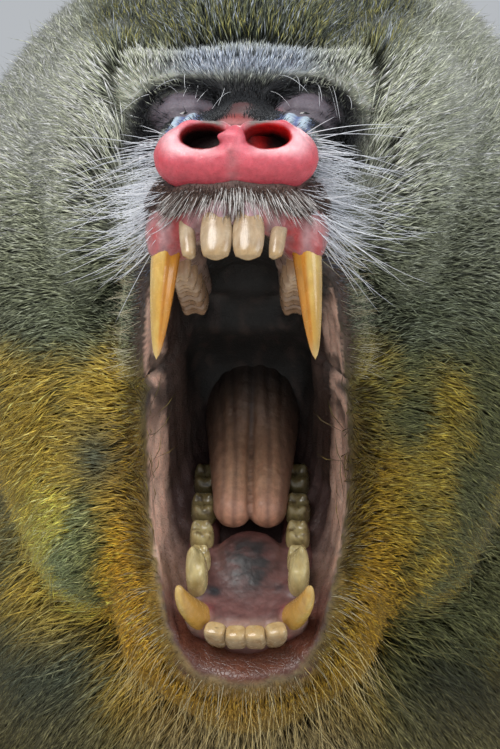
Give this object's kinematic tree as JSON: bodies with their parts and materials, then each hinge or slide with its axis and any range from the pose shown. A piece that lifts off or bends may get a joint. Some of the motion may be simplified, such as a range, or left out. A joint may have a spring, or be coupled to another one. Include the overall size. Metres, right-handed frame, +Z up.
{
  "type": "standing yawning mandrill model",
  "caption": "Life-size male mandrill standing on all fours, head raised in a wide yawn that shows tongue and long canines, eyes shut, short tail held up.",
  "frame": {"origin": "on the floor, below the middle of the whole animal's bounding box", "axes": "the nose points to -Y and the tail to +Y, +Z is up, +X is the animal's own left"},
  "size_m": [0.3417, 0.8724, 0.8222],
  "materials": {
    "coat": "olive-grey speckled fur, ochre round the mouth, pale below",
    "bare_skin": "dark creased skin with sparse short hair",
    "ear_skin": "soft bare skin",
    "eyelid": "wrinkled mauve-grey lid",
    "nose_skin": "smooth pink-red skin, slightly moist",
    "teeth": "ivory to ochre enamel in moist pink gum",
    "tongue_skin": "moist brown-pink"
  },
  "bodies": {
    "root": {"head": "coat", "lower_jaw": "coat", "neck": "coat", "chest": "coat", "abdomen": "coat", "rump": "coat", "tail": "coat", "upper_arm_left": "coat", "upper_arm_right": "coat", "forearm_left": "coat", "forearm_right": "coat", "thigh_left": "coat", "thigh_right": "coat", "shank_left": "coat", "shank_right": "coat", "hand_left": "bare_skin", "hand_right": "bare_skin", "foot_left": "bare_skin", "foot_right": "bare_skin", "ear_left": "ear_skin", "ear_right": "ear_skin", "eye_left": "eyelid", "eye_right": "eyelid", "nose": "nose_skin", "upper_teeth": "teeth", "lower_teeth": "teeth", "tongue": "tongue_skin"}
  },
  "joints": []
}
